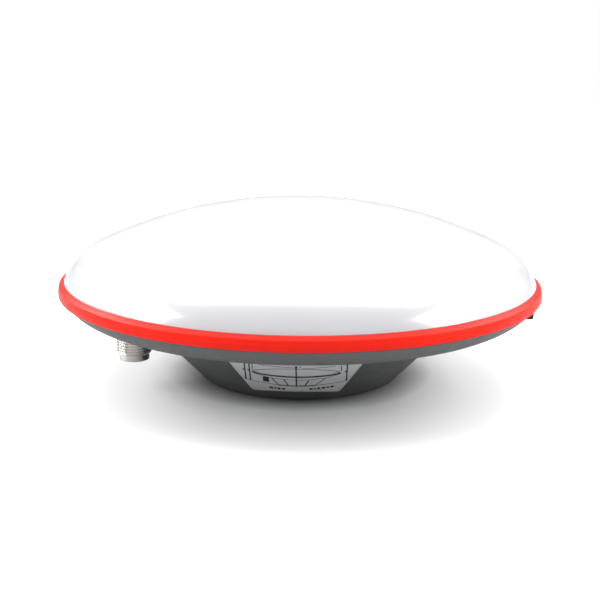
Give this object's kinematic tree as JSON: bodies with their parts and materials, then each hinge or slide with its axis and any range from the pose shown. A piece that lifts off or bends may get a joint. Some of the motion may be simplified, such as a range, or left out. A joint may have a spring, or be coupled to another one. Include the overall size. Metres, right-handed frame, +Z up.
{
  "type": "gnss receiver",
  "caption": "Round survey GNSS receiving head: domed white radome, bumper ring and conical metal boss with a pole thread and a downward coaxial jack.",
  "frame": {"origin": "antenna reference point: centre of the boss's flat foot, on the pole thread's axis", "axes": "+Z up along the pole axis towards the radome; the label faces -Y and the jack is towards -X and -Y"},
  "size_m": [0.1599, 0.16, 0.0583],
  "materials": {
    "radome_white": "gloss",
    "ring_red": "satin",
    "housing_grey": "satin",
    "lug_black": "matte",
    "label_grey": "satin print",
    "nickel": "bright nickel",
    "steel": "turned",
    "brass": "turned",
    "gold": "plated",
    "seal_black": "matte",
    "ptfe_white": "waxy",
    "vent_black": "matte",
    "board_green": "solder mask",
    "chip_black": "moulded",
    "can_tin": "tinned",
    "plane_aluminium": "chromated",
    "disc_ivory": "laminate",
    "patch_copper": "tarnished copper",
    "coax_brown": "translucent jacket"
  },
  "bodies": {
    "root": {"radome": "radome_white", "radome_inserts": "brass", "bumper_ring": "ring_red", "rim_seal": "seal_black", "lower_housing": "housing_grey", "pole_insert": "steel", "height_lug": "lug_black", "lug_screws": "steel", "label": "label_grey", "housing_screws": "steel", "screw_seals": "seal_black", "vent_plug": "vent_black", "vent_membrane": "ptfe_white", "tnc_body": "nickel", "tnc_insulator": "ptfe_white", "tnc_contact": "gold", "tnc_gasket": "seal_black", "tnc_washer": "nickel", "tnc_nut": "nickel", "coax_pigtail": "coax_brown", "coax_plug": "gold", "board_socket": "gold", "amplifier_board": "board_green", "board_components": "chip_black", "shield_can": "can_tin", "board_spacers": "steel", "board_screws": "steel", "ground_plane": "plane_aluminium", "ground_screws": "steel", "lower_disc": "disc_ivory", "lower_patch": "patch_copper", "upper_disc": "disc_ivory", "upper_patch": "patch_copper", "patch_screw": "brass", "patch_nut": "brass", "lower_feed_pins": "gold", "upper_feed_pins": "gold"}
  },
  "joints": []
}
